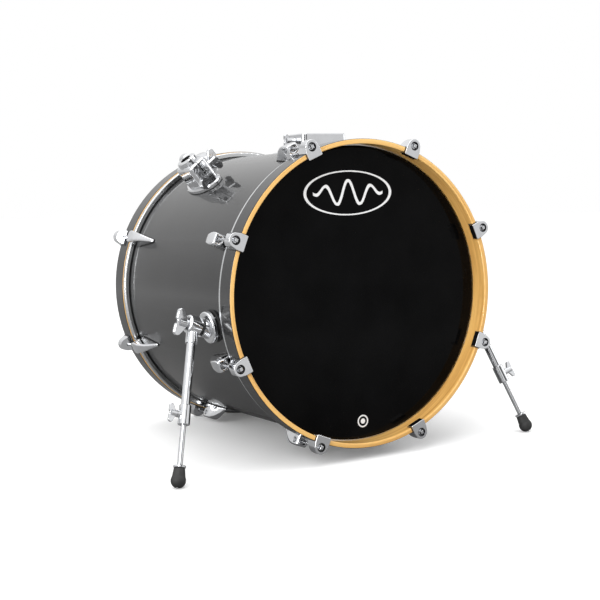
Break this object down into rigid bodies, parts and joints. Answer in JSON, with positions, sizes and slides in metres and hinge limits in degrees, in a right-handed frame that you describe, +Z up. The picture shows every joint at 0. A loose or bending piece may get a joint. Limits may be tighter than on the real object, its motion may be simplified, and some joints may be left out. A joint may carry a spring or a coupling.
{
  "type": "bass drum",
  "caption": "Bass drum with a lacquered wooden shell, maple hoops, claw-held heads, folding spurs with rubber feet, a side tube clamp and a tom mount.",
  "frame": {"origin": "on the floor, under the middle of the drum's box", "axes": "+X to the right as seen from the front head, +Y from the front head to the rear one along the drum, level with the floor, +Z up"},
  "size_m": [0.8152, 0.5658, 0.6145],
  "materials": {
    "shell": "dark grey metallic lacquer over maple, gloss",
    "hoop": "natural maple, clear gloss, dark grey metallic band outside",
    "black_film": "gloss black polyester film",
    "white_film": "coated white polyester film",
    "head_ring": "satin",
    "cast_chrome": "chrome plate on cast zinc",
    "steel_chrome": "chrome plate on steel",
    "zinc_steel": "zinc plated",
    "nylon": "moulded",
    "rubber": "moulded"
  },
  "bodies": {
    "drum": {"air_vent": "steel_chrome", "claw_pads": "nylon", "front_claws": "cast_chrome", "front_head_film": "black_film", "front_head_ring": "head_ring", "front_hoop": "hoop", "front_lugs": "cast_chrome", "left_spur_base": "cast_chrome", "left_spur_pivot_bolt": "steel_chrome", "lug_gaskets": "rubber", "mount_gaskets": "rubber", "rear_claws": "cast_chrome", "rear_head_film": "white_film", "rear_head_ring": "head_ring", "rear_hoop": "hoop", "rear_lugs": "cast_chrome", "right_spur_base": "cast_chrome", "right_spur_pivot_bolt": "steel_chrome", "rod_washers": "nylon", "shell": "shell", "shell_screws": "zinc_steel", "spur_pads": "nylon", "swivel_nuts": "zinc_steel", "tom_mount": "cast_chrome", "tube_clamp_base": "cast_chrome", "tube_clamp_jaw": "cast_chrome"},
    "left_leg": {"left_spur_tilter": "cast_chrome", "left_spur_tube": "steel_chrome", "left_spur_tube_clamp": "cast_chrome"},
    "left_leg_rod": {"left_spur_rod": "steel_chrome"},
    "left_leg_foot": {"left_spur_lock_ring": "steel_chrome", "left_spur_foot": "rubber"},
    "left_fold_nut": {"left_spur_wing_nut": "cast_chrome"},
    "left_height_bolt": {"left_spur_wing_bolt": "cast_chrome"},
    "right_leg": {"right_spur_tilter": "cast_chrome", "right_spur_tube": "steel_chrome", "right_spur_tube_clamp": "cast_chrome"},
    "right_leg_rod": {"right_spur_rod": "steel_chrome"},
    "right_leg_foot": {"right_spur_lock_ring": "steel_chrome", "right_spur_foot": "rubber"},
    "right_fold_nut": {"right_spur_wing_nut": "cast_chrome"},
    "right_height_bolt": {"right_spur_wing_bolt": "cast_chrome"},
    "front_tension_rod_1": {"front_rod_1": "steel_chrome"},
    "front_tension_rod_2": {"front_rod_2": "steel_chrome"},
    "front_tension_rod_3": {"front_rod_3": "steel_chrome"},
    "front_tension_rod_4": {"front_rod_4": "steel_chrome"},
    "front_tension_rod_5": {"front_rod_5": "steel_chrome"},
    "front_tension_rod_6": {"front_rod_6": "steel_chrome"},
    "front_tension_rod_7": {"front_rod_7": "steel_chrome"},
    "front_tension_rod_8": {"front_rod_8": "steel_chrome"},
    "rear_tension_rod_1": {"rear_rod_1": "steel_chrome"},
    "rear_tension_rod_2": {"rear_rod_2": "steel_chrome"},
    "rear_tension_rod_3": {"rear_rod_3": "steel_chrome"},
    "rear_tension_rod_4": {"rear_rod_4": "steel_chrome"},
    "rear_tension_rod_5": {"rear_rod_5": "steel_chrome"},
    "rear_tension_rod_6": {"rear_rod_6": "steel_chrome"},
    "rear_tension_rod_7": {"rear_rod_7": "steel_chrome"},
    "rear_tension_rod_8": {"rear_rod_8": "steel_chrome"},
    "clamp_bolt": {"tube_clamp_wing_bolt": "cast_chrome"},
    "mount_bolt": {"tom_mount_wing_bolt": "cast_chrome"}
  },
  "joints": [
    {"name": "left_fold", "type": "hinge", "parent": "drum", "child": "left_leg", "pos_m": [-0.313, -0.16159, 0.26819], "axis": [-0.9542, 0.013, 0.2988], "range_deg": [-107.9, 0]},
    {"name": "left_fold_nut_turn", "type": "hinge", "parent": "drum", "child": "left_fold_nut", "pos_m": [-0.313, -0.16159, 0.26819], "axis": [-0.9542, 0.013, 0.2988], "range_deg": [0, 450]},
    {"name": "left_leg_extension", "type": "slide", "parent": "left_leg", "child": "left_leg_rod", "axis": [-0.2846, -0.3467, -0.8938], "range_m": [-0.045, 0.065]},
    {"name": "left_foot_back", "type": "slide", "parent": "left_leg_rod", "child": "left_leg_foot", "axis": [0.2846, 0.3467, 0.8938], "range_m": [0, 0.012]},
    {"name": "left_height_bolt_turn", "type": "hinge", "parent": "left_leg", "child": "left_height_bolt", "pos_m": [-0.36081, -0.21983, 0.11804], "axis": [-0.9542, 0.013, 0.2988], "range_deg": [0, 450]},
    {"name": "right_fold", "type": "hinge", "parent": "drum", "child": "right_leg", "pos_m": [0.313, -0.16159, 0.26819], "axis": [0.9542, 0.013, 0.2988], "range_deg": [0, 107.9]},
    {"name": "right_fold_nut_turn", "type": "hinge", "parent": "drum", "child": "right_fold_nut", "pos_m": [0.313, -0.16159, 0.26819], "axis": [0.9542, 0.013, 0.2988], "range_deg": [0, 450]},
    {"name": "right_leg_extension", "type": "slide", "parent": "right_leg", "child": "right_leg_rod", "axis": [0.2846, -0.3467, -0.8938], "range_m": [-0.045, 0.065]},
    {"name": "right_foot_back", "type": "slide", "parent": "right_leg_rod", "child": "right_leg_foot", "axis": [-0.2846, 0.3467, 0.8938], "range_m": [0, 0.012]},
    {"name": "right_height_bolt_turn", "type": "hinge", "parent": "right_leg", "child": "right_height_bolt", "pos_m": [0.36081, -0.21983, 0.11804], "axis": [0.9542, 0.013, 0.2988], "range_deg": [0, 450]},
    {"name": "front_tension_rod_1_turn", "type": "hinge", "parent": "drum", "child": "front_tension_rod_1", "pos_m": [0.27485, -0.21482, 0.42451], "axis": [0, -0.999, 0.0436], "range_deg": [0, 450]},
    {"name": "front_tension_rod_2_turn", "type": "hinge", "parent": "drum", "child": "front_tension_rod_2", "pos_m": [0.11385, -0.2078, 0.58537], "axis": [0, -0.999, 0.0436], "range_deg": [0, 450]},
    {"name": "front_tension_rod_3_turn", "type": "hinge", "parent": "drum", "child": "front_tension_rod_3", "pos_m": [-0.11385, -0.2078, 0.58537], "axis": [0, -0.999, 0.0436], "range_deg": [0, 450]},
    {"name": "front_tension_rod_4_turn", "type": "hinge", "parent": "drum", "child": "front_tension_rod_4", "pos_m": [-0.27485, -0.21482, 0.42451], "axis": [0, -0.999, 0.0436], "range_deg": [0, 450]},
    {"name": "front_tension_rod_5_turn", "type": "hinge", "parent": "drum", "child": "front_tension_rod_5", "pos_m": [-0.27485, -0.22476, 0.19703], "axis": [0, -0.999, 0.0436], "range_deg": [0, 450]},
    {"name": "front_tension_rod_6_turn", "type": "hinge", "parent": "drum", "child": "front_tension_rod_6", "pos_m": [-0.11385, -0.23178, 0.03618], "axis": [0, -0.999, 0.0436], "range_deg": [0, 450]},
    {"name": "front_tension_rod_7_turn", "type": "hinge", "parent": "drum", "child": "front_tension_rod_7", "pos_m": [0.11385, -0.23178, 0.03618], "axis": [0, -0.999, 0.0436], "range_deg": [0, 450]},
    {"name": "front_tension_rod_8_turn", "type": "hinge", "parent": "drum", "child": "front_tension_rod_8", "pos_m": [0.27485, -0.22476, 0.19703], "axis": [0, -0.999, 0.0436], "range_deg": [0, 450]},
    {"name": "rear_tension_rod_1_turn", "type": "hinge", "parent": "drum", "child": "rear_tension_rod_1", "pos_m": [0.27485, 0.22476, 0.40532], "axis": [0, 0.999, -0.0436], "range_deg": [0, 450]},
    {"name": "rear_tension_rod_2_turn", "type": "hinge", "parent": "drum", "child": "rear_tension_rod_2", "pos_m": [0.11385, 0.23178, 0.56617], "axis": [0, 0.999, -0.0436], "range_deg": [0, 450]},
    {"name": "rear_tension_rod_3_turn", "type": "hinge", "parent": "drum", "child": "rear_tension_rod_3", "pos_m": [-0.11385, 0.23178, 0.56617], "axis": [0, 0.999, -0.0436], "range_deg": [0, 450]},
    {"name": "rear_tension_rod_4_turn", "type": "hinge", "parent": "drum", "child": "rear_tension_rod_4", "pos_m": [-0.27485, 0.22476, 0.40532], "axis": [0, 0.999, -0.0436], "range_deg": [0, 450]},
    {"name": "rear_tension_rod_5_turn", "type": "hinge", "parent": "drum", "child": "rear_tension_rod_5", "pos_m": [-0.27485, 0.21482, 0.17784], "axis": [0, 0.999, -0.0436], "range_deg": [0, 450]},
    {"name": "rear_tension_rod_6_turn", "type": "hinge", "parent": "drum", "child": "rear_tension_rod_6", "pos_m": [-0.11385, 0.2078, 0.01699], "axis": [0, 0.999, -0.0436], "range_deg": [0, 450]},
    {"name": "rear_tension_rod_7_turn", "type": "hinge", "parent": "drum", "child": "rear_tension_rod_7", "pos_m": [0.11385, 0.2078, 0.01699], "axis": [0, 0.999, -0.0436], "range_deg": [0, 450]},
    {"name": "rear_tension_rod_8_turn", "type": "hinge", "parent": "drum", "child": "rear_tension_rod_8", "pos_m": [0.27485, 0.21482, 0.17784], "axis": [0, 0.999, -0.0436], "range_deg": [0, 450]},
    {"name": "clamp_bolt_turn", "type": "hinge", "parent": "drum", "child": "clamp_bolt", "pos_m": [-0.19173, 0.04548, 0.54046], "axis": [0.7826, 0.0272, 0.6219], "range_deg": [0, 450]},
    {"name": "mount_bolt_turn", "type": "hinge", "parent": "drum", "child": "mount_bolt", "pos_m": [-0.06, -0.08704, 0.60026], "axis": [-1, 0, 0], "range_deg": [0, 450]}
  ]
}
